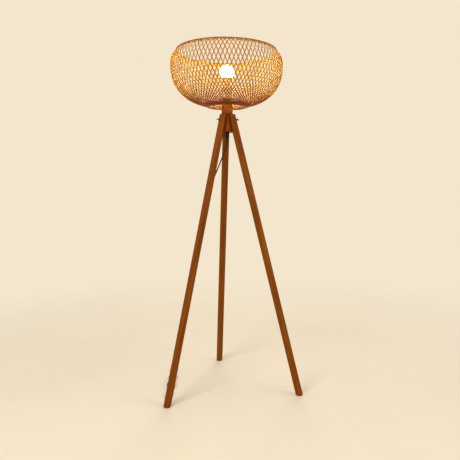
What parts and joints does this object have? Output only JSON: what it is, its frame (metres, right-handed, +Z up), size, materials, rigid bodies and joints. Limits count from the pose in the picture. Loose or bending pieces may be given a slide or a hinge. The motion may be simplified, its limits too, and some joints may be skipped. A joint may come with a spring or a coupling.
{
  "type": "tripod floor lamp",
  "caption": "Tripod floor lamp with round wooden legs, a turned hub and an open bowl of crossed bamboo strips round an upright bulb, with its cord, in-line switch and plug.",
  "frame": {"origin": "on the floor, under the middle of the lamp's own box without its loose cord; the lamp's axis stands 50.9 mm towards -Y from it", "axes": "+Z up, +Y towards the rear leg, +X to the right seen from the front"},
  "size_m": [0.5904, 0.5754, 1.4616],
  "materials": {
    "leg_wood": "satin lacquered hardwood, grain along the leg",
    "hub_wood": "satin lacquered turned hardwood",
    "bamboo": "split bamboo strips, matt and fibrous",
    "cane": "round rattan cane, matt",
    "black_steel": "black lacquered steel, satin",
    "bronzed_steel": "brown lacquered steel, satin",
    "bright_steel": "zinc-plated steel",
    "brass": "plain brass",
    "black_plastic": "satin moulded plastic",
    "cord_sheath": "soft extruded sheath",
    "ceramic": "glazed insulating block",
    "white_plastic": "satin moulded plastic",
    "opal_globe": "opal diffuser, lit warm from inside",
    "felt": "pressed felt"
  },
  "bodies": {
    "lamp": {"hub": "hub_wood", "leg_rear": "leg_wood", "leg_left": "leg_wood", "leg_right": "leg_wood", "foot_pad_rear": "felt", "foot_pad_left": "felt", "foot_pad_right": "felt", "washer_rear": "black_steel", "washer_left": "black_steel", "washer_right": "black_steel", "threaded_insert_rear": "brass", "threaded_insert_left": "brass", "threaded_insert_right": "brass", "cord_clip_1": "black_plastic", "cord_clip_2": "black_plastic", "cord_clip_3": "black_plastic", "cord_clip_4": "black_plastic", "cord_clip_5": "black_plastic", "threaded_tube": "bright_steel", "cord_grip": "black_plastic", "lead_in_tube": "cord_sheath", "shade_spider": "bronzed_steel", "holder_cup": "bronzed_steel", "clamp_nut": "bright_steel", "holder_cap": "white_plastic", "holder_body": "white_plastic", "contact_block": "ceramic", "screw_shell": "brass", "centre_contact": "brass", "shade_outer_weave": "bamboo", "shade_inner_weave": "bamboo", "rim_cane": "cane", "cord_to_switch": "cord_sheath", "switch_base": "black_plastic", "switch_cover": "black_plastic", "cord_to_hank": "cord_sheath", "cord_hank": "cord_sheath", "hank_tie": "black_plastic", "cord_to_plug": "cord_sheath", "plug_body": "black_plastic", "plug_blade_left": "brass", "plug_blade_right": "brass"},
    "bulb": {"bulb_contact": "brass", "bulb_cap": "bright_steel", "bulb_skirt": "white_plastic", "bulb_globe": "opal_globe"},
    "screw_rear": {"wing_screw_rear": "black_steel"},
    "screw_left": {"wing_screw_left": "black_steel"},
    "screw_right": {"wing_screw_right": "black_steel"},
    "rocker": {"switch_rocker": "black_plastic"}
  },
  "joints": [
    {"name": "bulb_turn", "type": "hinge", "parent": "lamp", "child": "bulb", "pos_m": [0, -0.0509, 1.31], "axis": [0, 0, 1], "continuous": true},
    {"name": "screw_rear_turn", "type": "hinge", "parent": "lamp", "child": "screw_rear", "pos_m": [0, -0.0179, 1.175], "axis": [0, 1, 0], "continuous": true},
    {"name": "screw_left_turn", "type": "hinge", "parent": "lamp", "child": "screw_left", "pos_m": [-0.02858, -0.0674, 1.175], "axis": [-0.866, -0.5, 0], "continuous": true},
    {"name": "screw_right_turn", "type": "hinge", "parent": "lamp", "child": "screw_right", "pos_m": [0.02858, -0.0674, 1.175], "axis": [0.866, -0.5, 0], "continuous": true},
    {"name": "rocker_tilt", "type": "hinge", "parent": "lamp", "child": "rocker", "pos_m": [-0.26752, -0.1026, 0.0112], "axis": [0.9934, -0.1148, 0], "range_deg": [0, 14]}
  ]
}
